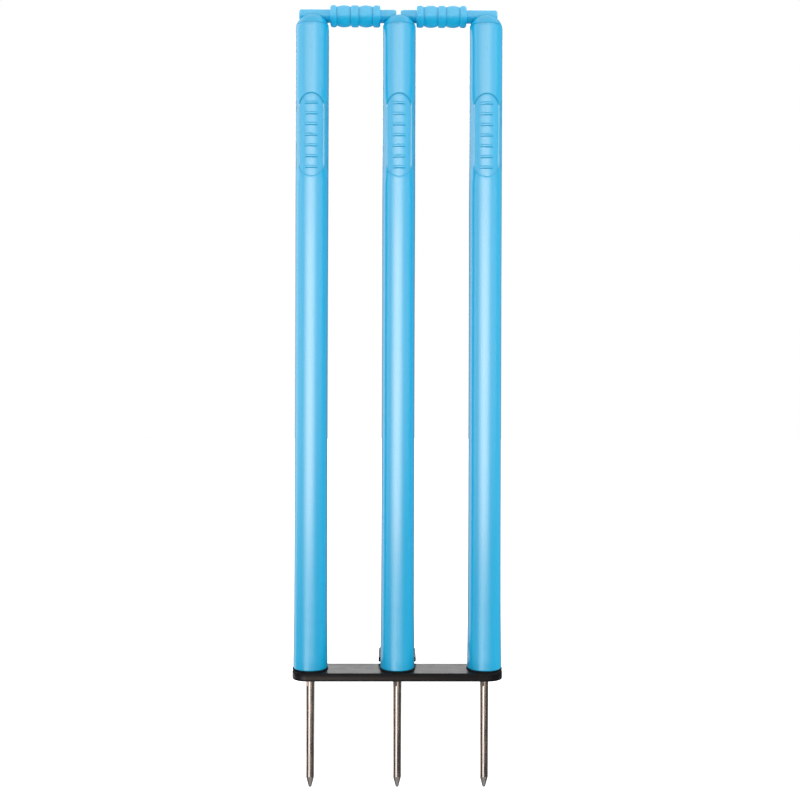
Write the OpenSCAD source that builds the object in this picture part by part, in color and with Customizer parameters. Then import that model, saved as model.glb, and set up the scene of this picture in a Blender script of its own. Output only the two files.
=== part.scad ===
/* [Stumps] */
// Height of one stump from its foot to the crest of its dome
stump_h = 711; // [640:1:760]
// Distance between the axes of two neighbouring stumps
stump_pitch = 94.5; // [80:0.5:120]
// Diameter of the stump at its foot
foot_d = 37.1; // [36.6:0.1:40]
// Height of the straight stretch at the foot
foot_h = 9; // [4:0.5:20]
// Rounding of the foot's lower edge
foot_edge_r = 1.2; // [0.4:0.1:2]
// Height above the foot where the foot's flare ends
flare_h = 62; // [40:1:90]
// Diameter where the foot's flare ends
body_d = 36; // [35.6:0.1:36.6]
// Height above the foot where the waist begins
waist_h = 290; // [220:5:310]
// Length of the upper taper, from the waist to the shoulder
upper_taper_h = 294; // [260:1:310]
// Diameter of the slim waist
waist_d = 35.4; // [35:0.1:36]
// Diameter where the dome begins
shoulder_d = 36.4; // [35.6:0.1:38]
// Bore of the moulded tube
tube_bore = 30.4; // [28:0.1:31]

/* [Dome] */
// Height of the dome above the shoulder
dome_h = 16.6; // [15.8:0.1:17.4]
// Radius of the dome's outer bend
dome_bend_r = 14; // [12:0.1:15]
// Height of the ring line above the shoulder, where the cap meets the tube
ring_h = 2.9; // [2:0.1:5]
// Height of the ring line's fine gap
ring_gap = 0.6; // [0.3:0.1:1]
// Depth of the ring line's fine gap
ring_depth = 0.7; // [0.3:0.1:1]
// Length of the cap's skirt inside the tube
skirt_h = 18; // [10:1:30]
// Wall of the cap's skirt
skirt_wall = 2.2; // [1.5:0.1:3]
// Lead-in chamfer on the cap's skirt and on the foot plug
lead_in = 1; // [0.5:0.1:1.5]
// Thickness of the cap's roof under the groove
roof_t = 3; // [2:0.1:4]
// Height of the spigots' axis below the dome's crest
spigot_drop = 2.1; // [1:0.1:3]

/* [Panel] */
// Height of the panel's upper end below the crest
panel_drop = 89; // [60:1:120]
// Height of the panel, end to end
panel_h = 91; // [70:1:120]
// Width of the panel, seen from the front
panel_w = 28; // [22:0.5:29]
// Depth of the panel's floor below the stump's skin
panel_depth = 1.2; // [0.4:0.1:1.4]
// Width of the sloped wall round the panel, seen from the front
panel_slope = 1.5; // [0.8:0.1:2]
// Number of plain ribs on the panel's floor
rib_count = 7; // [3:1:7]
// Distance between two ribs
rib_pitch = 11.5; // [8:0.5:11.5]
// Length of a rib, seen from the front
rib_l = 14; // [8:0.5:18]
// Radius of a rib's round section
rib_r = 2.2; // [1.5:0.1:2.6]
// Height of a rib above the panel's floor
rib_rise = 0.9; // [0.3:0.1:1.1]

/* [Bails] */
// How much shorter a bail's barrel is than the gap between two stumps
bail_slack = 3.6; // [2:0.1:6]
// How far the left bail lies from the middle of its gap, to the right
left_bail_shift = -0.5; // [-0.7:0.1:0.7]
// How far the right bail lies from the middle of its gap, to the right
right_bail_shift = -1.5; // [-1.5:0.1:0.7]
// How far the long spigot reaches past the outer stump's axis, with the bail in the middle
spigot_overhang = 13.8; // [8:0.1:15]
// Gap between the ends of the two bails, with both in the middle
bail_gap = 5.6; // [3:0.1:10]
// Diameter of the spigots
spigot_d = 14.2; // [12:0.1:15]
// Rounding of the spigots' ends
spigot_end_r = 2.6; // [1:0.1:4]
// Diameter of the beads and barrels at their crests
barrel_d = 23.4; // [20:0.1:25]
// Diameter at the grooves between beads and barrels
barrel_groove_d = 20; // [17:0.1:20.5]
// Width of the bead next to the long spigot
outer_bead_w = 7.2; // [6:0.1:9]
// Width of the middle bead
middle_bead_w = 9; // [7:0.1:11]
// Width of the bead next to the short spigot
inner_bead_w = 8.3; // [6:0.1:10]
// Rounding of a bead's shoulders
bead_r = 2.6; // [1.5:0.1:2.9]
// Clearance between a bail's spigot and its groove
bail_clearance = 0.3; // [0.2:0.05:0.6]

/* [Base] */
// Length of the margin between an outer stump's axis and the plate's end
plate_margin = 19; // [19:0.5:30]
// Depth of the plate, front to back
plate_w = 43; // [42:0.5:60]
// Height of the plate's pressed tray
plate_h = 8.7; // [8.3:0.1:12]
// Corner radius of the plate, seen from above
plate_corner_r = 16; // [8:0.5:18]
// Rounding of the plate's upper edge
plate_edge_r = 1.6; // [0.8:0.1:2.4]
// Rounding of the lower outer edge of the plate and of the tread
sheet_edge_r = 0.8; // [0.4:0.1:1.2]
// Thickness of the plate's and the tread's sheet
sheet = 2.5; // [1.5:0.1:2.8]
// Thickness of the seat washer
washer_t = 1.2; // [0.8:0.1:3]
// How far the seat washer stands out round the foot
washer_lip = 0.9; // [0.2:0.1:1]
// Clearance of the stud in the plate and the washer
stud_clearance = 0.4; // [0.2:0.1:0.8]

/* [Tread] */
// Width of the foot tread
tread_w = 41.4; // [38:0.1:60]
// Depth of the foot tread, front to back
tread_l = 54; // [35:1:80]
// Height of the tread's top above the plate's top
tread_rise = 6.6; // [5:0.1:12]
// Height of the tread's skirt
tread_skirt = 5; // [3.5:0.1:5]
// Corner radius of the tread's rear corners
tread_corner_r = 14; // [4:0.5:18]
// Rounding of the tread's upper edge
tread_edge_r = 1.2; // [0.8:0.1:1.4]
// Width of the tongue that joins the tread to the plate
tongue_w = 30; // [24:0.5:34]
// Gap under the tongue's lower edge
tongue_lift = 1; // [0.5:0.1:2]
// Rounding of the tongue's lower corners
tongue_corner_r = 3; // [1:0.5:4]
// Distance between the tread's two rivets
rivet_pitch = 17; // [12:0.5:20]
// Diameter of a rivet's shank
rivet_d = 3; // [2:0.1:3.2]
// Diameter of a rivet's domed head
rivet_head_d = 4.8; // [4.2:0.1:5]
// Height of a rivet's domed head
rivet_head_h = 1.4; // [0.8:0.1:1.8]
// Diameter of a rivet's flat tail
rivet_tail_d = 4.2; // [3.8:0.1:4.4]
// Thickness of a rivet's flat tail
rivet_tail_h = 1; // [0.8:0.1:1.4]

/* [Spikes] */
// Diameter of a ground spike
spike_d = 9.4; // [8.8:0.1:12]
// Length of a spike below the plate's underside
spike_l = 120; // [80:1:200]
// Length of the spike's tapered point
point_l = 12; // [8:0.5:20]
// Diameter of the spike's blunt tip
tip_d = 3.8; // [2:0.1:5]
// Depth of the two spanner flats on the spike's neck
flat_depth = 0.6; // [0.2:0.05:0.6]
// Length of the flats below the plate's underside
flat_l = 9.5; // [4:0.5:20]
// How far the left spike is turned, seen from above
left_turn = -60; // [-90:1:90]
// How far the centre spike is turned, seen from above
centre_turn = -34; // [-90:1:90]
// How far the right spike is turned, seen from above
right_turn = -32; // [-90:1:90]
// Diameter of the threaded stud on top of the spike
stud_d = 8; // [6:0.1:8]
// Length of the stud inside the stump
stud_l = 22; // [14:0.5:24]
// Chamfer on the stud's upper end
stud_chamfer = 1; // [0.5:0.1:1.5]
// Width of the plate nut across its flats
nut_af = 13; // [12:0.5:16]
// Height of the plate nut
nut_h = 4; // [3:0.1:4.8]
// Clearance in the threads
thread_clearance = 0.1; // [0.05:0.05:0.2]

/* [Foot plug] */
// Height of the foot plug
plug_h = 30; // [28:1:45]
// Thickness of the plug's floor
plug_floor = 5; // [3:0.5:8]
// Wall of the plug's rim
plug_wall = 2.4; // [1.5:0.1:3]
// Diameter of the plug's central boss
boss_d = 19; // [16.5:0.5:21]
// Thickness of the plug's ribs
plug_rib_t = 2; // [1:0.1:3]
// Number of ribs between the boss and the rim
plug_rib_count = 4; // [3:1:6]
// Diameter of the threaded insert
insert_d = 12; // [11:0.1:14]
// Length of the threaded insert
insert_l = 24; // [16:1:25]
// Number of bands round the threaded insert
insert_bands = 3; // [2:1:5]
// Depth of the grooves between the insert's bands
insert_groove = 0.4; // [0.2:0.1:0.8]
// Clearance between a plug, cap or insert and its seat
fit_clearance = 0.1; // [0.05:0.05:0.3]

/* [Hidden] */
$fn = 96;

// Colours of the mouldings, the sheet and the metals
plastic_blue = [0.33, 0.72, 0.9];
plug_blue = [0.2, 0.5, 0.66];
sheet_black = [0.1, 0.1, 0.11];
washer_black = [0.04, 0.04, 0.04];
steel = [0.66, 0.64, 0.61];
brass = [0.78, 0.62, 0.32];

// Margin by which a cutting shape passes the faces that it cuts
over = 1;

// Heights of the stack, from the ground face of the plate
foot_z = plate_h + washer_t;
crest_z = foot_z + stump_h;
shoulder_z = crest_z - dome_h;
ring_z = shoulder_z + ring_h;
spigot_z = crest_z - spigot_drop;
sheet_z = plate_h - sheet;
nut_z = sheet_z - nut_h;

// Radii
foot_r = foot_d / 2;
body_r = body_d / 2;
waist_r = waist_d / 2;
shoulder_r = shoulder_d / 2;
bore_r = tube_bore / 2;
spigot_r = spigot_d / 2;
groove_r = spigot_r + bail_clearance;
barrel_r = barrel_d / 2;
barrel_groove_r = barrel_groove_d / 2;
spike_r = spike_d / 2;
stud_r = stud_d / 2;
stud_hole_r = stud_r + stud_clearance;
thread_hole_r = stud_r + thread_clearance;
skirt_r = bore_r - fit_clearance;

// The crown arc that meets the dome's outer bend at a tangent
bend_x = shoulder_r - dome_bend_r;
crown_r = (bend_x * bend_x / (dome_h - dome_bend_r) + dome_bend_r + dome_h) / 2;
crown_drop = crown_r - dome_h;

// Plate and tread
plate_l = 2 * (stump_pitch + plate_margin);
plate_back = plate_w / 2;
tread_top = plate_h + tread_rise;
tread_front = plate_back;
tread_back = tread_front + tread_l;
rivet_z = (tongue_lift + sheet_z) / 2;

// Bails
barrel_l = stump_pitch - shoulder_d - bail_slack;
long_spigot_l = shoulder_r + bail_slack / 2 + spigot_overhang;
short_spigot_l = shoulder_r + (bail_slack - bail_gap) / 2;
bail_l = long_spigot_l + barrel_l + short_spigot_l;
barrel_w = (barrel_l - outer_bead_w - middle_bead_w - inner_bead_w) / 2;
bulge = barrel_r - barrel_groove_r;
bulge_r = (barrel_w * barrel_w / 4 + bulge * bulge) / (2 * bulge);

// Panel
panel_end_r = panel_w / 2;
panel_z = crest_z - panel_drop - panel_h / 2;
panel_reach = panel_h / 2 - panel_end_r;
panel_steps = 24;
rib_trim = 0.2;

// Share of its own width by which the panel's wall runs on past the skin and past the floor
wall_over = 0.5;

// Heights above the foot
shoulder_h = stump_h - dome_h;
ring_h_above_foot = shoulder_h + ring_h;

// Radius of the stump's skin in the upper taper, at a height above the ground
function skin_r(z) = shoulder_r - (shoulder_r - waist_r) * (shoulder_z - z) / upper_taper_h;

// A point of the panel's outline of end radius r, on the stump's skin or on a floor drawn in by
// inset; end is 1 for the upper round end and -1 for the lower one, and t the angle along it
function panel_point(end, t, r, inset) =
    let (x = end * r * cos(t))
    let (z = panel_z + end * (panel_reach + r * sin(t)))
    [x, -sqrt(pow(skin_r(z) - inset, 2) - x * x), z];

// The whole outline as a list of such points
function panel_loop(r, inset) = [
    for (end = [1, -1])
        for (i = [0:panel_steps])
            panel_point(end, i * 180 / panel_steps, r, inset)
];

// Half of the stump's outline from the foot up to the shoulder, drawn in by inset
module stem_outline(inset = 0) {
    foot_in = foot_r - inset;
    translate([foot_in - foot_edge_r, foot_edge_r]) circle(r = foot_edge_r);
    polygon([
        [0, 0],
        [foot_in - foot_edge_r, 0],
        [foot_in - foot_edge_r, foot_edge_r],
        [foot_in, foot_edge_r],
        [foot_in, foot_h],
        [body_r - inset, flare_h],
        [waist_r - inset, waist_h],
        [waist_r - inset, shoulder_h - upper_taper_h],
        [shoulder_r - inset, shoulder_h],
        [0, shoulder_h]
    ]);
}

// Half of the dome: an outer bend that runs into a flatter crown at a tangent, where the ray
// through both arcs' centres leaves the dome
module dome_outline() {
    ray_end = [foot_d, crown_drop * (foot_d / bend_x - 1)];
    translate([0, shoulder_h]) {
        intersection() {
            translate([bend_x, 0]) circle(r = dome_bend_r);
            polygon([[bend_x, 0], [foot_d, 0], ray_end]);
        }
        intersection() {
            translate([0, -crown_drop]) circle(r = crown_r);
            polygon([[0, 0], [bend_x, 0], ray_end, [0, 2 * crown_r]]);
        }
    }
}

// The whole stump as one solid of revolution, cut at the ring line
module stump_below_ring() {
    rotate_extrude()
        intersection() {
            union() {
                stem_outline();
                dome_outline();
            }
            square([foot_d, ring_h_above_foot]);
        }
}

module stump_above_ring() {
    rotate_extrude()
        intersection() {
            dome_outline();
            translate([0, ring_h_above_foot]) square([foot_d, dome_h]);
        }
}

// The hollow of the panel, with its sloped wall, before its floor is left in
module panel_hollow() {
    outer = panel_loop(panel_end_r, 0);
    inner = panel_loop(panel_end_r - panel_slope, panel_depth);
    n = len(outer);
    front_loop = [for (i = [0:n - 1]) outer[i] + wall_over * (outer[i] - inner[i])];
    back_loop = [for (i = [0:n - 1]) inner[i] + wall_over * (inner[i] - outer[i])];
    front_point = [0, -foot_d, panel_z];
    back_point = [0, 0, panel_z];
    polyhedron(
        points = concat(front_loop, back_loop, [front_point, back_point]),
        faces = concat(
            [for (i = [0:n - 1]) [i, (i + 1) % n, n + i]],
            [for (i = [0:n - 1]) [n + i, (i + 1) % n, n + (i + 1) % n]],
            [for (i = [0:n - 1]) [i, 2 * n, (i + 1) % n]],
            [for (i = [0:n - 1]) [n + i, n + (i + 1) % n, 2 * n + 1]]
        )
    );
}

// One plain rib on the panel's floor, with a round section and round ends
module panel_rib(z) {
    ring_r = skin_r(z) - panel_depth + rib_rise - rib_r;
    end_r = rib_r - rib_trim;
    translate([0, 0, z])
        intersection() {
            rotate_extrude() translate([ring_r, 0]) circle(r = rib_r);
            rotate([90, 0, 0])
                linear_extrude(foot_d) {
                    square([rib_l - 2 * end_r, 2 * end_r], center = true);
                    for (side = [-1, 1])
                        translate([side * (rib_l / 2 - end_r), 0]) circle(r = end_r);
                }
        }
}

// A moulded tube, open at both ends, with the sunk panel on its front
module stump_tube() {
    color(plastic_blue)
        difference() {
            union() {
                difference() {
                    translate([0, 0, foot_z]) stump_below_ring();
                    difference() {
                        panel_hollow();
                        translate([0, 0, foot_z]) rotate_extrude() stem_outline(panel_depth);
                    }
                }
                for (i = [0:rib_count - 1])
                    panel_rib(panel_z + (i - (rib_count - 1) / 2) * rib_pitch);
            }
            translate([0, 0, foot_z - over])
                cylinder(r = bore_r, h = ring_h_above_foot + 2 * over);
        }
}

// The section of the cap's groove: round below and open above
module groove_section() {
    intersection() {
        circle(r = groove_r);
        translate([-groove_r, -groove_r]) square([2 * groove_r, groove_r]);
    }
    translate([-groove_r, 0]) square([2 * groove_r, spigot_drop + over]);
}

// The domed cap, with the groove for the bails and a skirt that plugs the tube
module stump_cap() {
    rim_r = bend_x + sqrt(dome_bend_r * dome_bend_r - ring_h * ring_h);
    roof_z = spigot_z - groove_r - roof_t;
    color(plastic_blue)
        difference() {
            union() {
                translate([0, 0, foot_z]) stump_above_ring();
                translate([0, 0, ring_z - skirt_h]) {
                    cylinder(r1 = skirt_r - lead_in, r2 = skirt_r, h = lead_in);
                    translate([0, 0, lead_in]) cylinder(r = skirt_r, h = skirt_h - lead_in + over);
                }
            }
            translate([0, 0, ring_z - over])
                difference() {
                    cylinder(r = foot_d, h = over + ring_gap);
                    translate([0, 0, -over]) cylinder(r = rim_r - ring_depth, h = 3 * over + ring_gap);
                }
            translate([0, 0, ring_z - skirt_h - over])
                cylinder(r = skirt_r - skirt_wall, h = roof_z - ring_z + skirt_h + over);
            translate([-foot_d, 0, spigot_z])
                rotate([90, 0, 90]) linear_extrude(2 * foot_d) groove_section();
        }
}

// The plug in the tube's foot: a floor, a rim, a boss for the insert and ribs between them
module foot_plug() {
    hole_l = max(insert_l, stud_l) + over;
    translate([0, 0, foot_z])
        color(plug_blue)
            difference() {
                union() {
                    difference() {
                        union() {
                            cylinder(r = skirt_r, h = plug_h - lead_in);
                            translate([0, 0, plug_h - lead_in])
                                cylinder(r1 = skirt_r, r2 = skirt_r - lead_in, h = lead_in);
                        }
                        translate([0, 0, plug_floor]) cylinder(r = skirt_r - plug_wall, h = plug_h);
                    }
                    cylinder(d = boss_d, h = plug_h - lead_in);
                    for (i = [0:plug_rib_count - 1])
                        rotate([0, 0, i * 360 / plug_rib_count])
                            translate([0, -plug_rib_t / 2, 0])
                                cube([skirt_r - plug_wall / 2, plug_rib_t, plug_h - 2 * lead_in]);
                }
                translate([0, 0, -over]) cylinder(r = insert_d / 2 + fit_clearance, h = hole_l + over);
            }
}

// The brass insert, with three bands that grip the plug
module threaded_insert() {
    band_l = insert_l / (2 * insert_bands - 1);
    translate([0, 0, foot_z])
        color(brass)
            difference() {
                union() {
                    cylinder(r = insert_d / 2 - insert_groove, h = insert_l);
                    for (i = [0:insert_bands - 1])
                        translate([0, 0, 2 * i * band_l]) cylinder(d = insert_d, h = band_l);
                }
                translate([0, 0, -over]) cylinder(r = thread_hole_r, h = insert_l + 2 * over);
            }
}

// The thin round-edged washer under the foot
module seat_washer() {
    edge_r = washer_t / 2;
    rim_r = foot_r + washer_lip - edge_r;
    translate([0, 0, plate_h])
        color(washer_black)
            rotate_extrude() {
                translate([stud_hole_r, 0]) square([rim_r - stud_hole_r, washer_t]);
                translate([rim_r, edge_r]) circle(r = edge_r);
            }
}

// The hexagon nut under the plate's sheet, with its corners turned off
module plate_nut() {
    corner_r = nut_af / 2 / cos(30);
    cut_h = (corner_r - nut_af / 2) / 2;
    translate([0, 0, nut_z])
        color(steel)
            difference() {
                intersection() {
                    cylinder(r = corner_r, h = nut_h, $fn = 6);
                    rotate_extrude()
                        polygon([
                            [0, 0],
                            [nut_af / 2, 0],
                            [corner_r, cut_h],
                            [corner_r, nut_h - cut_h],
                            [nut_af / 2, nut_h],
                            [0, nut_h]
                        ]);
                }
                translate([0, 0, -over]) cylinder(r = thread_hole_r, h = nut_h + 2 * over);
            }
}

// The ground spike: a rod with a blunt tapered point, a stud on top and two flats on its neck
module spike(turn) {
    tip_r = tip_d / 2;
    stud_top = foot_z + stud_l;
    rotate([0, 0, turn])
        color(steel)
            difference() {
                rotate_extrude() {
                    polygon([
                        [0, tip_r - spike_l],
                        [tip_r, tip_r - spike_l],
                        [spike_r, point_l - spike_l],
                        [spike_r, nut_z],
                        [stud_r, nut_z],
                        [stud_r, stud_top - stud_chamfer],
                        [stud_r - stud_chamfer, stud_top],
                        [0, stud_top]
                    ]);
                    intersection() {
                        translate([0, tip_r - spike_l]) circle(r = tip_r);
                        translate([0, -spike_l]) square([tip_r, tip_r]);
                    }
                }
                for (side = [0, 180])
                    rotate([0, 0, side])
                        translate([-spike_r, spike_r - flat_depth, -flat_l])
                            cube([2 * spike_r, spike_r, flat_l + nut_z]);
            }
}

// A rounded outline, seen from above
module rounded_outline(length, width, r) {
    square([length - 2 * r, width], center = true);
    square([length, width - 2 * r], center = true);
    for (x = [-1, 1], y = [-1, 1])
        translate([x * (length / 2 - r), y * (width / 2 - r)]) circle(r = r);
}

// The section of a slab's edge: r deep, h high, rounded at the top and a little below
module edge_section(r, h, edge_r) {
    low_r = sheet_edge_r;
    square([r - low_r, low_r]);
    translate([0, low_r]) square([r, h - edge_r - low_r]);
    translate([0, h - edge_r]) square([r - edge_r, edge_r]);
    translate([r - edge_r, h - edge_r]) circle(r = edge_r);
    translate([r - low_r, low_r]) circle(r = low_r);
}

// A slab with rounded corners and rounded edges
module slab(length, width, h, r, edge_r) {
    straight_x = length - 2 * r;
    straight_y = width - 2 * r;
    translate([-straight_x / 2, -straight_y / 2, 0]) cube([straight_x, straight_y, h]);
    for (turn = [0, 180])
        rotate([0, 0, turn]) {
            translate([straight_x / 2, straight_y / 2, 0])
                rotate_extrude(angle = 90) edge_section(r, h, edge_r);
            translate([-straight_x / 2, straight_y / 2, 0])
                rotate([0, 0, 90]) rotate_extrude(angle = 90) edge_section(r, h, edge_r);
            translate([straight_x / 2, straight_y / 2, 0])
                rotate([90, 0, 0]) linear_extrude(straight_y) edge_section(r, h, edge_r);
            translate([-straight_x / 2, straight_y / 2, 0])
                rotate([90, 0, 90]) linear_extrude(straight_x) edge_section(r, h, edge_r);
        }
}

// The holes for the tread's rivets, through the tongue and the plate's skirt
module rivet_holes() {
    for (side = [-1, 1])
        translate([side * rivet_pitch / 2, plate_back - 2 * sheet, rivet_z])
            rotate([-90, 0, 0]) cylinder(r = rivet_d / 2 + fit_clearance, h = 4 * sheet);
}

// The base plate: a pressed tray, open below
module base_plate() {
    color(sheet_black)
        difference() {
            slab(plate_l, plate_w, plate_h, plate_corner_r, plate_edge_r);
            translate([0, 0, -over])
                linear_extrude(sheet_z + over)
                    rounded_outline(plate_l - 2 * sheet, plate_w - 2 * sheet, plate_corner_r - sheet);
            for (side = [-1, 0, 1])
                translate([side * stump_pitch, 0, -over])
                    cylinder(r = stud_hole_r, h = plate_h + 2 * over);
            rivet_holes();
        }
}

// The foot tread: a small tray behind the plate, with a tongue down the plate's skirt
module foot_tread() {
    skirt_z = tread_top - tread_skirt;
    long = tread_l + tread_corner_r;
    middle_y = tread_back - long / 2;
    hollow_w = tread_w - 2 * sheet;
    hollow_l = long - 2 * sheet;
    color(sheet_black)
        difference() {
            union() {
                difference() {
                    translate([0, middle_y, skirt_z])
                        slab(tread_w, long, tread_skirt, tread_corner_r, tread_edge_r);
                    translate([0, middle_y, skirt_z - over])
                        linear_extrude(tread_skirt - sheet + over)
                            intersection() {
                                rounded_outline(hollow_w, hollow_l, tread_corner_r - sheet);
                                translate([-tread_w, tread_front + sheet - middle_y])
                                    square([2 * tread_w, tread_l]);
                            }
                    translate([-tread_w, tread_front - long, skirt_z - over])
                        cube([2 * tread_w, long, tread_skirt + 2 * over]);
                }
                translate([0, tread_front + sheet, 0])
                    rotate([90, 0, 0])
                        linear_extrude(sheet) {
                            translate([-tongue_w / 2, tongue_lift + tongue_corner_r])
                                square([tongue_w, skirt_z - tongue_lift - tongue_corner_r + over]);
                            translate([tongue_corner_r - tongue_w / 2, tongue_lift])
                                square([tongue_w - 2 * tongue_corner_r, skirt_z - tongue_lift]);
                            for (side = [-1, 1])
                                translate([
                                    side * (tongue_w / 2 - tongue_corner_r),
                                    tongue_lift + tongue_corner_r
                                ])
                                    circle(r = tongue_corner_r);
                        }
            }
            rivet_holes();
        }
}

// The two rivets, with a domed head behind the tongue and a flat tail inside the plate
module tread_rivets() {
    grip = 2 * sheet;
    head_r = rivet_head_d / 2;
    dome_r = (head_r * head_r + rivet_head_h * rivet_head_h) / (2 * rivet_head_h);
    color(steel)
        for (side = [-1, 1])
            translate([side * rivet_pitch / 2, plate_back - sheet, rivet_z])
                rotate([-90, 0, 0])
                    rotate_extrude() {
                        translate([0, -rivet_tail_h]) square([rivet_tail_d / 2, rivet_tail_h]);
                        square([rivet_d / 2, grip]);
                        intersection() {
                            translate([0, grip + rivet_head_h - dome_r]) circle(r = dome_r);
                            translate([0, grip]) square([head_r, rivet_head_h]);
                        }
                    }
}

// A bead of the bail's turned barrel, from height 0 to its width
module bead_section(width) {
    square([barrel_r - bead_r, width]);
    translate([0, bead_r]) square([barrel_r, width - 2 * bead_r]);
    for (y = [bead_r, width - bead_r])
        translate([barrel_r - bead_r, y]) circle(r = bead_r);
}

// A bulging stretch between two beads
module barrel_section() {
    intersection() {
        translate([barrel_r - bulge_r, barrel_w / 2]) circle(r = bulge_r);
        square([barrel_r, barrel_w]);
    }
}

// A spigot with a rounded free end at height 0
module spigot_section(length) {
    square([spigot_r - spigot_end_r, length]);
    translate([0, spigot_end_r]) square([spigot_r, length - spigot_end_r]);
    translate([spigot_r - spigot_end_r, spigot_end_r]) circle(r = spigot_end_r);
}

// One turned bail along +X, with its long spigot's end at the origin
module bail() {
    outer_z = long_spigot_l;
    first_z = outer_z + outer_bead_w;
    middle_z = first_z + barrel_w;
    second_z = middle_z + middle_bead_w;
    inner_z = second_z + barrel_w;
    color(plastic_blue)
        rotate([0, 90, 0])
            rotate_extrude() {
                spigot_section(long_spigot_l);
                translate([0, outer_z]) bead_section(outer_bead_w);
                translate([0, first_z]) barrel_section();
                translate([0, middle_z]) bead_section(middle_bead_w);
                translate([0, second_z]) barrel_section();
                translate([0, inner_z]) bead_section(inner_bead_w);
                translate([0, bail_l]) mirror([0, 1]) spigot_section(short_spigot_l);
            }
}

module left_bail() {
    translate([left_bail_shift - stump_pitch - spigot_overhang, 0, spigot_z]) bail();
}

module right_bail() {
    translate([right_bail_shift + stump_pitch + spigot_overhang, 0, spigot_z])
        mirror([1, 0, 0]) bail();
}

// Moves a piece of the centre stump to the left or the right one
module at_stump(side) {
    translate([side * stump_pitch, 0, 0]) children();
}

base_plate();
foot_tread();
tread_rivets();
at_stump(-1) stump_tube();  // left_stump_tube
at_stump(0) stump_tube();  // centre_stump_tube
at_stump(1) stump_tube();  // right_stump_tube
at_stump(-1) stump_cap();  // left_stump_cap
at_stump(0) stump_cap();  // centre_stump_cap
at_stump(1) stump_cap();  // right_stump_cap
at_stump(-1) foot_plug();  // left_foot_plug
at_stump(0) foot_plug();  // centre_foot_plug
at_stump(1) foot_plug();  // right_foot_plug
at_stump(-1) threaded_insert();  // left_threaded_insert
at_stump(0) threaded_insert();  // centre_threaded_insert
at_stump(1) threaded_insert();  // right_threaded_insert
at_stump(-1) seat_washer();  // left_seat_washer
at_stump(0) seat_washer();  // centre_seat_washer
at_stump(1) seat_washer();  // right_seat_washer
at_stump(-1) plate_nut();  // left_plate_nut
at_stump(0) plate_nut();  // centre_plate_nut
at_stump(1) plate_nut();  // right_plate_nut
at_stump(-1) spike(left_turn);  // left_spike
at_stump(0) spike(centre_turn);  // centre_spike
at_stump(1) spike(right_turn);  // right_spike
left_bail();
right_bail();
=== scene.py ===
import math

import bpy
import bmesh
from mathutils import Euler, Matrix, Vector


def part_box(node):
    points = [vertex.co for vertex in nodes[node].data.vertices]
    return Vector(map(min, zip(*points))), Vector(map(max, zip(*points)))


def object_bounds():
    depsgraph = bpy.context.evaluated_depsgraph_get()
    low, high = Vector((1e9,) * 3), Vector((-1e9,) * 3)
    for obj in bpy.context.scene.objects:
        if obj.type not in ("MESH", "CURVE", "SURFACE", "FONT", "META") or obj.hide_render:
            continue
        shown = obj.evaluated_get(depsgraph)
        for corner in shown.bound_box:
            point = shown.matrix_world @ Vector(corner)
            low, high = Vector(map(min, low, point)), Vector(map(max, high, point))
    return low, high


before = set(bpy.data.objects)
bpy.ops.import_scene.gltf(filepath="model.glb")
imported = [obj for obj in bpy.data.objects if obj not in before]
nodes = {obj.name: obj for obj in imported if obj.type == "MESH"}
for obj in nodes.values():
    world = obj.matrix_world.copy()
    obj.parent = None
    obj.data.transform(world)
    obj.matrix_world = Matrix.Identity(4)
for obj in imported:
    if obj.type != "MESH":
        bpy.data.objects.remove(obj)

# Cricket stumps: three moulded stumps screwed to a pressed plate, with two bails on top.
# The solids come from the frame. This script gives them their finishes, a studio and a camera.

cadBox = [list(corner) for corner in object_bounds()]
scene = bpy.context.scene

# The places that the finishes need, all from the frame
tubeLow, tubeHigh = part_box("centre_stump_tube")
outerLow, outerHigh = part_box("right_stump_tube")
plateLow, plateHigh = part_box("base_plate")
treadLow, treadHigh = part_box("foot_tread")
bailLow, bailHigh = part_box("left_bail")
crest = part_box("centre_stump_cap")[1].z
stumpPitch = (outerLow.x + outerHigh.x) / 2 - (tubeLow.x + tubeHigh.x) / 2
bailAxis = (bailLow.z + bailHigh.z) / 2


# Camera

photoView = {
    "place": (-0.0098, -1.2190, 0.3359),
    "lookUp": 0.188,        # degrees above the level
    "turnRight": 0.551,     # degrees, seen from above
    "roll": 0.176,          # degrees, anticlockwise as the photographer sees it
    "lens": 50.36,
    "sensor": 36,
    "shiftY": -0.045,
}


def makeCamera(view):
    lens = bpy.data.cameras.new("camera")
    lens.lens = view["lens"]
    lens.sensor_width = view["sensor"]
    lens.shift_y = view["shiftY"]
    camera = bpy.data.objects.new("camera", lens)
    camera.location = view["place"]
    camera.rotation_euler = Euler((
        math.radians(90 + view["lookUp"]),
        math.radians(-view["roll"]),
        math.radians(-view["turnRight"]),
    ))
    scene.collection.objects.link(camera)
    scene.camera = camera
    scene.view_settings.view_transform = "Standard"
    print("camera stands", round(-view["place"][1], 3), "m in front of the stumps")


makeCamera(photoView)


# Node tree helpers

# A socket takes a link from another socket, or else a plain value
def feed(tree, socket, value):
    if isinstance(value, bpy.types.NodeSocket):
        tree.links.new(value, socket)
    else:
        socket.default_value = value


def connect(tree, sockets, values):
    for name, value in values.items():
        feed(tree, sockets[name], value)


def addNode(tree, kind, inputs=None, **settings):
    node = tree.nodes.new(kind)
    for name, value in settings.items():
        setattr(node, name, value)
    connect(tree, node.inputs, inputs or {})
    return node


def calc(tree, operation, *values):
    node = addNode(tree, "ShaderNodeMath", operation=operation)
    for socket, value in zip(node.inputs, values):
        feed(tree, socket, value)
    return node.outputs[0]


def product(tree, first, *others):
    for value in others:
        first = calc(tree, "MULTIPLY", first, value)
    return first


def total(tree, first, *others):
    for value in others:
        first = calc(tree, "ADD", first, value)
    return first


# What a value between 0 and 1 leaves of 1
def invert(tree, value):
    return calc(tree, "SUBTRACT", 1, value)


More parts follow.
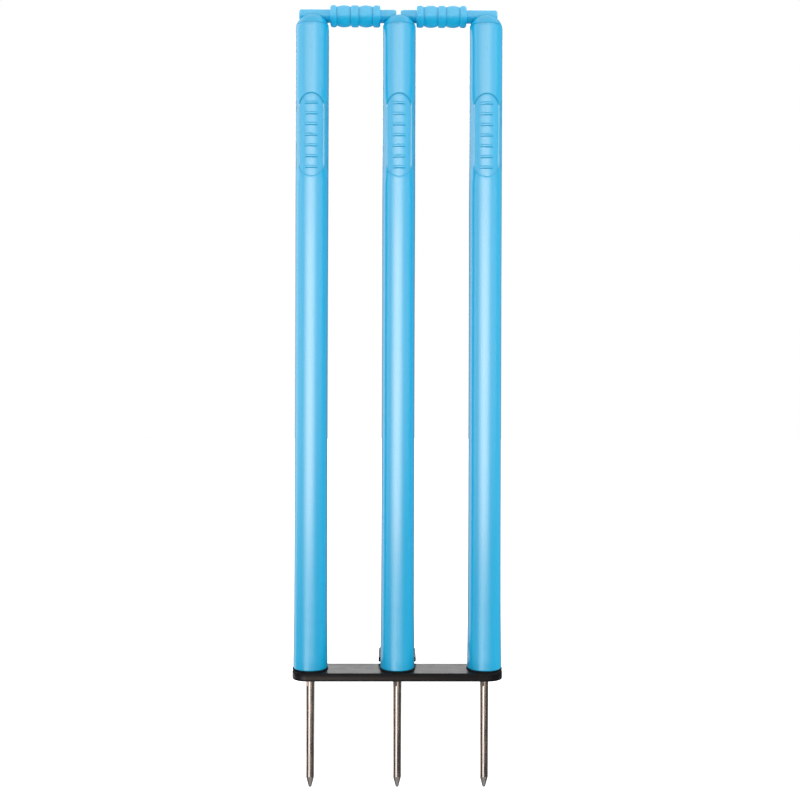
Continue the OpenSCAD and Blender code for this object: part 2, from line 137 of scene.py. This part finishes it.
def distance(tree, first, second):
    squares = total(tree, product(tree, first, first), product(tree, second, second))
    return calc(tree, "SQRT", squares)


# Runs smoothly from 0 at low to 1 at high
def fade(tree, value, low, high):
    node = addNode(tree, "ShaderNodeMapRange", {
        "Value": value, "From Min": low, "From Max": high,
    }, interpolation_type="SMOOTHSTEP")
    return node.outputs["Result"]


def blendColours(tree, factor, first, second):
    node = addNode(tree, "ShaderNodeMix", data_type="RGBA")
    # Inputs 0, 6 and 7 are the factor, A and B of a colour mix
    sockets = (node.inputs[0], node.inputs[6], node.inputs[7])
    for socket, value in zip(sockets, (factor, first, second)):
        feed(tree, socket, value)
    return node.outputs[2]


def splitAxes(tree, vector):
    return addNode(tree, "ShaderNodeSeparateXYZ", {"Vector": vector}).outputs


# Where a point lies on the object, in metres
def objectSpot(tree):
    return splitAxes(tree, addNode(tree, "ShaderNodeTexCoord").outputs["Object"])


# 1 on a face that looks straight up, 0 on an upright one and -1 on one that looks down
def facingUp(tree):
    return splitAxes(tree, addNode(tree, "ShaderNodeNewGeometry").outputs["Normal"])["Z"]


# Noise on the object's own coordinates, stretched by a scale along each axis, per metre
def grain(tree, scale, detail=2, roughness=0.5):
    place = addNode(tree, "ShaderNodeTexCoord").outputs["Object"]
    mapping = addNode(tree, "ShaderNodeMapping", {"Vector": place, "Scale": scale})
    noise = addNode(tree, "ShaderNodeTexNoise", {
        "Vector": mapping.outputs["Vector"], "Scale": 1, "Detail": detail, "Roughness": roughness,
    })
    return noise.outputs["Fac"]


def roughen(tree, height, depth, strength=1):
    bump = addNode(tree, "ShaderNodeBump", {
        "Strength": strength, "Distance": depth, "Height": height,
    })
    return bump.outputs["Normal"]


def newGroup(name, inputs, outputs):
    tree = bpy.data.node_groups.new(name, "ShaderNodeTree")
    for label, kind, value in inputs:
        socket = tree.interface.new_socket(label, in_out="INPUT", socket_type=kind)
        socket.default_value = value
    for label, kind in outputs:
        tree.interface.new_socket(label, in_out="OUTPUT", socket_type=kind)
    given = tree.nodes.new("NodeGroupInput").outputs
    result = tree.nodes.new("NodeGroupOutput").inputs
    return tree, given, result


def useGroup(tree, group, inputs=None):
    node = tree.nodes.new("ShaderNodeGroup")
    node.node_tree = group
    connect(tree, node.inputs, inputs or {})
    return node.outputs


# A material with its own Principled shader. Constants go straight to the shader's sockets.
def newFinish(name, constants):
    material = bpy.data.materials.new(name)
    material.use_nodes = True
    tree = material.node_tree
    shader = tree.nodes["Principled BSDF"]
    connect(tree, shader.inputs, constants)
    return material, tree, shader


floatSocket = "NodeSocketFloat"
colourSocket = "NodeSocketColor"
vectorSocket = "NodeSocketVector"


# Shared effects

# Distances from the axis of the nearest stump, so that one pattern serves all three
def makeStumpPlace():
    tree, given, result = newGroup(
        "stump place",
        [("Pitch", floatSocket, stumpPitch)],
        [("Across", floatSocket), ("Depth", floatSocket), ("Height", floatSocket)],
    )
    spot = objectSpot(tree)
    step = calc(tree, "ROUND", calc(tree, "DIVIDE", spot["X"], given["Pitch"]))
    across = calc(tree, "SUBTRACT", spot["X"], product(tree, step, given["Pitch"]))
    connect(tree, result, {"Across": across, "Depth": spot["Y"], "Height": spot["Z"]})
    return tree


skinPattern = {
    "clouds": {"scale": (18, 18, 9), "detail": 3},
    "streaks": {"scale": (420, 420, 9), "detail": 2},
    "cloudShare": 0.75,         # of the tone, and the streaks have the rest
    "rubPatches": {"scale": (22, 22, 14), "detail": 2},
    "patchEdges": (0.52, 0.72),
    "rubLines": {"scale": (260, 260, 1900), "detail": 3, "roughness": 0.6},
    "lineEdges": (0.62, 0.7),
    "rubColour": (0.8, 0.9, 0.95, 1),
    "rubPaleness": 0.12,
    "rubRoughness": 0.12,
    "unevenness": 0.14,
    "peel": {"scale": (1300, 1300, 1300), "detail": 2},
    "waves": {"scale": (160, 160, 60), "detail": 1},
    "waveHeight": 2,            # beside the peel's height
    "bumpDepth": 0.0001,
}


# The satin skin of a moulding: cloudy colour, faint flow streaks, fine peel and a few rubs
def makeMouldedSkin(look):
    tree, given, result = newGroup(
        "moulded skin",
        [
            ("Colour", colourSocket, (0.5, 0.5, 0.5, 1)),
            ("Cloudiness", floatSocket, 0.1),
            ("Roughness", floatSocket, 0.4),
            ("Peel", floatSocket, 0.1),
            ("Rubs", floatSocket, 0.5),
            ("Mark height", floatSocket, 0),
        ],
        [("Colour", colourSocket), ("Roughness", floatSocket), ("Normal", vectorSocket)],
    )
    clouds = grain(tree, **look["clouds"])
    streaks = grain(tree, **look["streaks"])
    rubPatches = fade(tree, grain(tree, **look["rubPatches"]), *look["patchEdges"])
    rubLines = fade(tree, grain(tree, **look["rubLines"]), *look["lineEdges"])
    rubs = product(tree, rubPatches, rubLines, given["Rubs"])
    tone = total(tree, product(tree, clouds, look["cloudShare"]),
                 product(tree, streaks, 1 - look["cloudShare"]))
    shade = product(tree, calc(tree, "SUBTRACT", tone, 0.5), given["Cloudiness"])
    bright = addNode(tree, "ShaderNodeHueSaturation", {
        "Color": given["Colour"], "Value": total(tree, shade, 1),
    })
    pale = blendColours(tree, product(tree, rubs, look["rubPaleness"]),
                        bright.outputs["Color"], look["rubColour"])
    uneven = product(tree, calc(tree, "SUBTRACT", clouds, 0.5), look["unevenness"])
    roughness = total(tree, given["Roughness"], uneven, product(tree, rubs, look["rubRoughness"]))
    peel = product(tree, grain(tree, **look["peel"]), given["Peel"])
    waves = product(tree, grain(tree, **look["waves"]), look["waveHeight"], given["Peel"])
    height = total(tree, peel, waves, given["Mark height"])
    connect(tree, result, {
        "Colour": pale,
        "Roughness": roughness,
        "Normal": roughen(tree, height, look["bumpDepth"]),
    })
    return tree


edgeWear = {
    "chips": {"scale": (420, 420, 420), "detail": 3, "roughness": 0.65},
    "chipEdges": (0.42, 0.62),
    "bandEdges": (0.35, 1.2),   # from the edge, in widths of the band
}


# Where a tray's coat is rubbed thin: a noisy band along its upper outer edge
def makeTrayEdge(look):
    tree, given, result = newGroup(
        "tray edge",
        [
            ("Middle Y", floatSocket, 0),
            ("Half length", floatSocket, 0.1),
            ("Half width", floatSocket, 0.02),
            ("Corner", floatSocket, 0.016),
            ("Top", floatSocket, 0.01),
            ("Band", floatSocket, 0.001),
        ],
        [("Mask", floatSocket)],
    )
    spot = objectSpot(tree)
    straightX = calc(tree, "SUBTRACT", given["Half length"], given["Corner"])
    straightY = calc(tree, "SUBTRACT", given["Half width"], given["Corner"])
    fromMiddle = calc(tree, "ABSOLUTE", calc(tree, "SUBTRACT", spot["Y"], given["Middle Y"]))
    overX = calc(tree, "SUBTRACT", calc(tree, "ABSOLUTE", spot["X"]), straightX)
    overY = calc(tree, "SUBTRACT", fromMiddle, straightY)
    corner = distance(tree, calc(tree, "MAXIMUM", overX, 0), calc(tree, "MAXIMUM", overY, 0))
    flat = calc(tree, "MINIMUM", calc(tree, "MAXIMUM", overX, overY), 0)
    inside = calc(tree, "SUBTRACT", given["Corner"], total(tree, corner, flat))
    below = calc(tree, "SUBTRACT", given["Top"], spot["Z"])
    fromEdge = total(tree, calc(tree, "ABSOLUTE", inside), calc(tree, "ABSOLUTE", below))
    bands = calc(tree, "DIVIDE", fromEdge, given["Band"])
    near = invert(tree, fade(tree, bands, *look["bandEdges"]))
    chips = fade(tree, grain(tree, **look["chips"]), *look["chipEdges"])
    connect(tree, result, {"Mask": product(tree, near, chips)})
    return tree


barPattern = {
    "lines": {"scale": (2600, 2600, 22), "detail": 3, "roughness": 0.6},
    "stain": {"scale": (160, 160, 40), "detail": 4, "roughness": 0.6},
    "stainEdges": (0.42, 0.68),
    "bumpDepth": 0.00002,
}


# Fine lines along Z, as a drawing die leaves them on a bar, with a little stain between them
def makeDrawnLines(look):
    tree, given, result = newGroup(
        "drawn lines",
        [("Depth", floatSocket, 0.2)],
        [("Lines", floatSocket), ("Stain", floatSocket), ("Normal", vectorSocket)],
    )
    lines = grain(tree, **look["lines"])
    connect(tree, result, {
        "Lines": lines,
        "Stain": fade(tree, grain(tree, **look["stain"]), *look["stainEdges"]),
        "Normal": roughen(tree, product(tree, lines, given["Depth"]), look["bumpDepth"]),
    })
    return tree


stumpPlace = makeStumpPlace()
mouldedSkin = makeMouldedSkin(skinPattern)
trayEdge = makeTrayEdge(edgeWear)
drawnLines = makeDrawnLines(barPattern)


# Blue plastic

# The moulded skin with one finish's own values
def skinOf(tree, look, markHeight=0):
    return useGroup(tree, mouldedSkin, {
        "Colour": look["colour"],
        "Cloudiness": look["cloudiness"],
        "Roughness": look["roughness"],
        "Peel": look["peel"],
        "Rubs": look["rubs"],
        "Mark height": markHeight,
    })


stumpPlastic = {
    "colour": (0.006, 0.39, 0.67, 1),
    "cloudiness": 0.08,
    "roughness": 0.19,
    "peel": 0.12,
    "rubs": 0.5,
    "coat": 0.4,
    "panelDrop": 0.1345,        # the panel's middle below the crest
    "panelReach": 0.0315,       # the straight part of its sides, from the middle
    "panelWall": 0.01325,       # its sloped wall's distance from the panel's middle line
    "wallEdges": (0.00056, 0.00128),    # from the wall, where its dull finish fades out
    "wallDull": 1,              # how much of the coat the wall lacks
    "gateHeight": 0.6798,       # the small witness mark below the dome, above the ground face
    "gateEdges": (0.00036, 0.0009),     # its flat middle and its rim
    "gateSink": 1.6,
    "gateShade": 0.25,
    "gateColour": (0.02, 0.3, 0.6, 1),
    "seamWidth": 0.00022,       # the mould's parting line, down both sides
    "seamRise": 0.6,
    "shine": {"Specular IOR Level": 0.9, "Coat Roughness": 0.19},
}


def makeStumpPlastic(look):
    material, tree, shader = newFinish("stump plastic", look["shine"])
    at = useGroup(tree, stumpPlace)
    inFront = calc(tree, "LESS_THAN", at["Depth"], 0)
    aboveGate = calc(tree, "SUBTRACT", at["Height"], look["gateHeight"])
    fromGate = distance(tree, aboveGate, at["Across"])
    gate = product(tree, invert(tree, fade(tree, fromGate, *look["gateEdges"])), inFront)
    fromSeam = calc(tree, "ABSOLUTE", at["Depth"])
    seam = invert(tree, fade(tree, fromSeam, 0, look["seamWidth"]))
    marks = calc(tree, "SUBTRACT", product(tree, seam, look["seamRise"]),
                 product(tree, gate, look["gateSink"]))

    # The panel's wall keeps the mould's duller finish, without the coat
    panelMiddle = crest - look["panelDrop"]
    fromPanel = calc(tree, "ABSOLUTE", calc(tree, "SUBTRACT", at["Height"], panelMiddle))
    beyond = calc(tree, "MAXIMUM", calc(tree, "SUBTRACT", fromPanel, look["panelReach"]), 0)
    fromLine = distance(tree, beyond, at["Across"])
    fromWall = calc(tree, "ABSOLUTE", calc(tree, "SUBTRACT", fromLine, look["panelWall"]))
    wall = invert(tree, fade(tree, fromWall, *look["wallEdges"]))
    coatPart = invert(tree, product(tree, wall, inFront, look["wallDull"]))

    skin = skinOf(tree, look, marks)
    shaded = blendColours(tree, product(tree, gate, look["gateShade"]),
                          skin["Colour"], look["gateColour"])
    connect(tree, shader.inputs, {
        "Base Color": shaded,
        "Roughness": skin["Roughness"],
        "Coat Weight": product(tree, coatPart, look["coat"]),
        "Normal": skin["Normal"],
    })
    return material


bailPlastic = {
    "colour": (0.002, 0.44, 0.75, 1),
    "cloudiness": 0.08,
    "roughness": 0.26,
    "peel": 0.1,
    "rubs": 0.8,
    "seamWidth": 0.0002,
    "seamRise": 0.5,
    # The pale blend below is partly dust and partly painted top light: upper and side faces are
    # paler, undersides stay deep blue
    "dust": (0.8, 0.86, 0.9, 1),
    "dustAmount": 0.15,
    "dustAndPaintedLightEdges": (-0.65, 0.2),  # by how far a face looks up
    "dustGrain": {"scale": (150, 150, 150), "detail": 4, "roughness": 0.6},
    "dustUneven": 0.4,
    "dustLeast": 0.8,
    "shine": {"Specular IOR Level": 0.28},
}


def makeBailPlastic(look):
    material, tree, shader = newFinish("bail plastic", look["shine"])
    fromAxis = calc(tree, "ABSOLUTE", calc(tree, "SUBTRACT", objectSpot(tree)["Z"], bailAxis))
    seam = invert(tree, fade(tree, fromAxis, 0, look["seamWidth"]))
    skin = skinOf(tree, look, product(tree, seam, look["seamRise"]))
    # Faces that look up or sideways turn paler and undersides stay deep blue: partly dust, partly
    # painted top light
    dustAndPaintedLight = product(tree, fade(tree, facingUp(tree), *look["dustAndPaintedLightEdges"]), look["dustAmount"])
    uneven = total(tree, product(tree, grain(tree, **look["dustGrain"]), look["dustUneven"]),
                   look["dustLeast"])
    dusty = blendColours(tree, product(tree, dustAndPaintedLight, uneven), skin["Colour"], look["dust"])
    connect(tree, shader.inputs, {
        "Base Color": dusty, "Roughness": skin["Roughness"], "Normal": skin["Normal"],
    })
    return material


plugPlastic = {
    "colour": (0.02, 0.2, 0.36, 1),
    "cloudiness": 0.1,
    "roughness": 0.55,
    "peel": 0.2,
    "rubs": 0.3,
    "shine": {"Specular IOR Level": 0.5},
}


def makePlugPlastic(look):
    material, tree, shader = newFinish("plug plastic", look["shine"])
    skin = skinOf(tree, look)
    connect(tree, shader.inputs, {
        "Base Color": skin["Colour"], "Roughness": skin["Roughness"], "Normal": skin["Normal"],
    })
    return material


# Black coat on the plate and the tread

blackCoat = {
    "colour": (0.006, 0.006, 0.0075, 1),
    "roughness": 0.27,
    "unevenness": 0.12,
    "unevenGrain": {"scale": (90, 90, 90), "detail": 3},
    "texture": {"scale": (900, 900, 900), "detail": 2},
    "bump": {"depth": 0.00006, "strength": 0.5},
    "plateCorner": 0.016,
    "treadCorner": 0.014,
    "worn": (0.03, 0.03, 0.03, 1),
    "wornAmount": 0.7,
    "wornHeight": -0.4,         # lower where the coat is rubbed away
    "band": 0.0011,
    "dust": (0.16, 0.155, 0.15, 1),
    "dustAmount": 0.02,
    "film": {"scale": (6, 120, 120), "detail": 4, "roughness": 0.6},
    "filmEdges": (0.2, 0.9),
    "filmUp": (0.3, 1),         # by how far a face looks up
    "filmRoughness": 0.08,
    "specks": {"scale": (2100, 2100, 2100), "detail": 1},
    "speckEdges": (0.7, 0.78),
    "sideCoat": 0.52,           # a glossier band along the side
    "sideStart": (0.05, 0.3),   # between these shares of the height it comes in
    "sideEnd": (0.35, 0.9),     # and between these it goes out
    "sideFade": 0.75,           # how much of that is gone at the right end
    "fadeSpan": (0.15, 0.9),    # between these shares of the length
    "shine": {"Specular IOR Level": 0.05, "Coat Roughness": 0.27},
}


def makeBlackCoat(name, low, high, corner, look):
    material, tree, shader = newFinish(name, look["shine"])
    edge = useGroup(tree, trayEdge, {
        "Middle Y": (low.y + high.y) / 2,
        "Half length": (high.x - low.x) / 2,
        "Half width": (high.y - low.y) / 2,
        "Corner": corner,
        "Top": high.z,
        "Band": look["band"],
    })["Mask"]
    film = product(tree, fade(tree, facingUp(tree), *look["filmUp"]),
                   fade(tree, grain(tree, **look["film"]), *look["filmEdges"]))
    specks = fade(tree, grain(tree, **look["specks"]), *look["speckEdges"])
    dustMask = product(tree, total(tree, film, specks), look["dustAmount"])
    dusty = blendColours(tree, dustMask, look["colour"], look["dust"])
    worn = blendColours(tree, product(tree, edge, look["wornAmount"]), dusty, look["worn"])

    spot = objectSpot(tree)

    # Fades between two shares of the tray's size along one axis
    def fadeAlong(axis, shares):
        start, end = getattr(low, axis.lower()), getattr(high, axis.lower())
        first, second = (start + share * (end - start) for share in shares)
        return fade(tree, spot[axis], first, second)

    lostRight = product(tree, fadeAlong("X", look["fadeSpan"]), look["sideFade"])
    side = product(tree, fadeAlong("Z", look["sideStart"]),
                   invert(tree, fadeAlong("Z", look["sideEnd"])), invert(tree, lostRight))

    uneven = product(tree, grain(tree, **look["unevenGrain"]), look["unevenness"])
    roughness = total(tree, uneven, look["roughness"] - look["unevenness"] / 2,
                      product(tree, film, look["filmRoughness"]))
    height = total(tree, grain(tree, **look["texture"]), product(tree, edge, look["wornHeight"]))
    connect(tree, shader.inputs, {
        "Base Color": worn,
        "Roughness": roughness,
        "Coat Weight": product(tree, side, look["sideCoat"]),
        "Normal": roughen(tree, height, **look["bump"]),
    })
    return material


# Rubber of the seat washers. Their near-black colour is partly painted shadow, the contact shadow
# under each foot

washerRubberAndPaintedShadow = {
    # near black, partly painted contact shadow under each foot
    "colour": (0.004, 0.004, 0.004, 1),
    "bloom": (0.016, 0.016, 0.017, 1),
    "bloomGrain": {"scale": (240, 240, 240), "detail": 4, "roughness": 0.65},
    "bloomEdges": (0.4, 0.75),
    "bloomRoughness": 0.15,
    "roughness": 0.7,
    "texture": {"scale": (2400, 2400, 2400), "detail": 2},
    "bump": {"depth": 0.00005, "strength": 0.6},
    "shine": {"Specular IOR Level": 0.15},
}


def makeWasherRubberAndPaintedShadow(look):
    material, tree, shader = newFinish("washer rubber and painted shadow", look["shine"])
    bloom = fade(tree, grain(tree, **look["bloomGrain"]), *look["bloomEdges"])
    connect(tree, shader.inputs, {
        "Base Color": blendColours(tree, bloom, look["colour"], look["bloom"]),
        "Roughness": total(tree, product(tree, bloom, look["bloomRoughness"]), look["roughness"]),
        "Normal": roughen(tree, grain(tree, **look["texture"]), **look["bump"]),
    })
    return material


# Metals

spikeSteel = {
    "colour": (0.62, 0.575, 0.55, 1),
    "stain": (0.45, 0.39, 0.355, 1),
    "stainAmount": 0.5,
    "stainRoughness": 0.08,
    "roughness": 0.15,
    "lineRoughness": 0.1,
    "lineDepth": 0.1,
}


def makeSpikeSteel(look):
    material, tree, shader = newFinish("spike steel", {"Metallic": 1})
    bar = useGroup(tree, drawnLines, {"Depth": look["lineDepth"]})
    stained = product(tree, bar["Stain"], look["stainAmount"])
    roughness = total(tree, product(tree, bar["Lines"], look["lineRoughness"]),
                      product(tree, bar["Stain"], look["stainRoughness"]),
                      look["roughness"] - look["lineRoughness"] / 2)
    connect(tree, shader.inputs, {
        "Base Color": blendColours(tree, stained, look["colour"], look["stain"]),
        "Roughness": roughness,
        "Normal": bar["Normal"],
    })
    return material


zincCoat = {
    "colour": (0.62, 0.63, 0.65, 1),
    "dull": (0.42, 0.43, 0.45, 1),
    "roughness": 0.32,
}
rivetCoat = {
    "colour": (0.05, 0.05, 0.053, 1),
    "dull": (0.16, 0.155, 0.15, 1),
    "roughness": 0.4,
}
brassFinish = {
    "colour": (0.72, 0.50, 0.19, 1),
    "dull": (0.45, 0.30, 0.12, 1),
    "roughness": 0.3,
}
smallMetal = {
    "spangle": {"scale": (700, 700, 700), "detail": 3, "roughness": 0.6},
    "dulling": {"scale": (180, 180, 180), "detail": 4, "roughness": 0.6},
    "dullEdges": (0.35, 0.7),
    "dullRoughness": 0.15,
    "bump": {"depth": 0.00003, "strength": 0.5},
}


def makeSmallMetal(name, look, surface):
    material, tree, shader = newFinish(name, {"Metallic": 1})
    dulled = fade(tree, grain(tree, **surface["dulling"]), *surface["dullEdges"])
    roughness = total(tree, product(tree, dulled, surface["dullRoughness"]), look["roughness"])
    connect(tree, shader.inputs, {
        "Base Color": blendColours(tree, dulled, look["colour"], look["dull"]),
        "Roughness": roughness,
        "Normal": roughen(tree, grain(tree, **surface["spangle"]), **surface["bump"]),
    })
    return material


# Each CAD node gets its finish

def coat(names, material):
    for name in names:
        mesh = nodes[name].data
        mesh.materials.clear()
        mesh.materials.append(material)
    print(material.name, "on", len(names), "nodes")


def threeOf(part):
    return [side + "_" + part for side in ("left", "centre", "right")]


coat(threeOf("stump_tube") + threeOf("stump_cap"), makeStumpPlastic(stumpPlastic))
coat(["left_bail", "right_bail"], makeBailPlastic(bailPlastic))
coat(threeOf("foot_plug"), makePlugPlastic(plugPlastic))
coat(["base_plate"],
     makeBlackCoat("plate coat", plateLow, plateHigh, blackCoat["plateCorner"], blackCoat))
coat(["foot_tread"],
     makeBlackCoat("tread coat", treadLow, treadHigh, blackCoat["treadCorner"], blackCoat))
coat(threeOf("seat_washer"), makeWasherRubberAndPaintedShadow(washerRubberAndPaintedShadow))
coat(threeOf("spike"), makeSpikeSteel(spikeSteel))
coat(threeOf("plate_nut"), makeSmallMetal("nut zinc", zincCoat, smallMetal))
coat(["tread_rivets"], makeSmallMetal("rivet steel", rivetCoat, smallMetal))
coat(threeOf("threaded_insert"), makeSmallMetal("insert brass", brassFinish, smallMetal))


# Studio

studio = {
    "ambient": 0.72,            # what the white room gives to matt surfaces
    "dimmest": 0.04,            # the least that a reflection shows
    "warmth": (1, 0.81, 0.68, 1),
    # What a reflection shows. Each panel has soft edges: round the object in degrees, 0 in front
    # and minus on the left, and up and down by the upward part of the direction.
    "panels": {
        "walls": {"turn": (-165, -120, 120, 165), "rise": (-0.3, -0.1, 0.7, 0.95), "level": 0.3},
        "left wall": {
            "turn": (-135, -105, -50, -20), "rise": (-0.26, -0.06, 0.5, 0.8), "level": 0.9,
        },
        "right wall": {"turn": (-5, 22, 52, 90), "rise": (-0.16, 0.0, 0.5, 0.8), "level": 1.05},
        "left low": {
            "turn": (-190, -175, -112, -82), "rise": (-0.6, -0.5, -0.32, -0.27), "level": 0.85,
        },
        "right low": {
            "turn": (80, 110, 150, 180), "rise": (-0.6, -0.5, -0.32, -0.27), "level": 0.5,
        },
        "window": {
            "turn": (-300, -200, -172, -156), "rise": (0.14, 0.22, 0.5, 0.8), "level": 4.2,
        },
        "window end": {
            "turn": (156, 172, 200, 300), "rise": (0.14, 0.22, 0.5, 0.8), "level": 4.2,
        },
        "low strip": {
            "turn": (-46, -34, -15, -1), "rise": (-0.42, -0.36, -0.27, -0.2), "level": 2.0,
        },
        "table": {"turn": (-300, -200, 200, 300), "rise": (-3, -2, -0.8, -0.6), "level": 0.4},
        "overhead": {"turn": (-300, -200, 200, 300), "rise": (0.5, 0.95, 2, 3), "level": 0.85},
    },
    "warmPanels": {
        "left rear": {
            "turn": (-158, -140, -122, -104), "rise": (-0.5, -0.35, 0.5, 0.8), "level": 0.9,
        },
        "softbox": {
            "turn": (-60, -12, -9, 40), "rise": (-0.17, -0.13, 0.14, 0.18), "level": 3.7,
        },
        "glow": {"turn": (-64, -14, -6, 56), "rise": (-0.33, -0.11, 0.25, 0.8), "level": 2.8},
    },
}
lamps = {
    "left": {"place": (-3.0, -0.65, 1.1), "size": (1.4, 1.8), "power": 35},
    "right": {"place": (3.0, -0.65, 1.0), "size": (1.4, 1.8), "power": 50},
    "top": {"place": (-0.3, -0.9, 2.7), "size": (1.8, 1.8), "power": 14},
    "rear": {"place": (0, 2.6, 1.2), "size": (2.4, 1.6), "power": 10},
}
lampAim = Vector((0, 0, 0.33))


# The lamps give the soft light on matt surfaces. Reflections show the room instead of them.
def makeLamps():
    for name, lamp in lamps.items():
        light = bpy.data.lights.new(name, "AREA")
        light.shape = "RECTANGLE"
        light.size, light.size_y = lamp["size"]
        light.energy = lamp["power"]
        holder = bpy.data.objects.new(name, light)
        holder.location = lamp["place"]
        towards = lampAim - Vector(lamp["place"])
        holder.rotation_euler = towards.to_track_quat("-Z", "Y").to_euler()
        holder.visible_camera = False
        holder.visible_glossy = False
        scene.collection.objects.link(holder)
    print("studio has", len(lamps), "lamps")


# White to the camera. A reflection shows the studio round it, with a softbox a little left of the
# front, and matt surfaces get an even light.
def makeRoom(look):
    world = bpy.data.worlds.new("room")
    world.use_nodes = True
    scene.world = world
    tree = world.node_tree
    tree.nodes.clear()
    path = addNode(tree, "ShaderNodeLightPath").outputs
    towards = splitAxes(tree, addNode(tree, "ShaderNodeTexCoord").outputs["Generated"])
    turn = calc(tree, "ARCTAN2", towards["X"], product(tree, towards["Y"], -1))
    turn = product(tree, turn, math.degrees(1))

    def softPanel(panel):
        parts = []
        for value, edges in ((turn, panel["turn"]), (towards["Z"], panel["rise"])):
            parts.append(product(tree, fade(tree, value, *edges[:2]),
                                 invert(tree, fade(tree, value, *edges[2:]))))
        return product(tree, *parts, panel["level"])

    # All the panels of one colour, seen by glossy rays only
    def reflectedLight(panels, least):
        shown = total(tree, least, *(softPanel(panel) for panel in panels.values()))
        return product(tree, path["Is Glossy Ray"], shown)

    seen = calc(tree, "MAXIMUM", path["Is Camera Ray"], path["Is Transmission Ray"])
    matt = product(tree, path["Is Diffuse Ray"], look["ambient"])
    plain = total(tree, seen, matt, reflectedLight(look["panels"], look["dimmest"]))
    room = addNode(tree, "ShaderNodeBackground", {"Color": (1, 1, 1, 1), "Strength": plain})
    warm = addNode(tree, "ShaderNodeBackground", {
        "Color": look["warmth"], "Strength": reflectedLight(look["warmPanels"], 0),
    })
    both = tree.nodes.new("ShaderNodeAddShader")
    tree.links.new(room.outputs[0], both.inputs[0])
    tree.links.new(warm.outputs[0], both.inputs[1])
    addNode(tree, "ShaderNodeOutputWorld", {"Surface": both.outputs[0]})


whiteFloor = {
    "radius": 6,
    "segments": 96,
    "glow": 0.7,                # its own light under the object, where the shadow shows
    "glowRadius": (0.5, 1.6),   # the shadow fades out between these distances
    "shine": {
        "Base Color": (0.85, 0.85, 0.85, 1),
        "Roughness": 0.9,
        "Specular IOR Level": 0.1,
        "Emission Color": (1, 1, 1, 1),
    },
}


def makeFloor(look):
    mesh = bpy.data.meshes.new("floor")
    shape = bmesh.new()
    bmesh.ops.create_circle(shape, cap_ends=True, segments=look["segments"],
                            radius=look["radius"])
    bmesh.ops.translate(shape, verts=shape.verts, vec=(0, 0, cadBox[0][2]))
    shape.to_mesh(mesh)
    shape.free()
    floor = bpy.data.objects.new("floor", mesh)
    scene.collection.objects.link(floor)
    floor.visible_glossy = False     # the room takes its place in reflections
    material, tree, shader = newFinish("floor", look["shine"])
    path = addNode(tree, "ShaderNodeLightPath").outputs
    spot = objectSpot(tree)
    away = fade(tree, distance(tree, spot["X"], spot["Y"]), *look["glowRadius"])
    glow = total(tree, product(tree, away, 1 - look["glow"]), look["glow"])
    mirrored = calc(tree, "MAXIMUM", path["Is Glossy Ray"], path["Is Transmission Ray"])
    seen = calc(tree, "MAXIMUM", path["Is Camera Ray"], mirrored)
    connect(tree, shader.inputs, {"Emission Strength": product(tree, seen, glow)})
    mesh.materials.append(material)


makeLamps()
makeRoom(studio)
makeFloor(whiteFloor)

print("all pieces dressed")
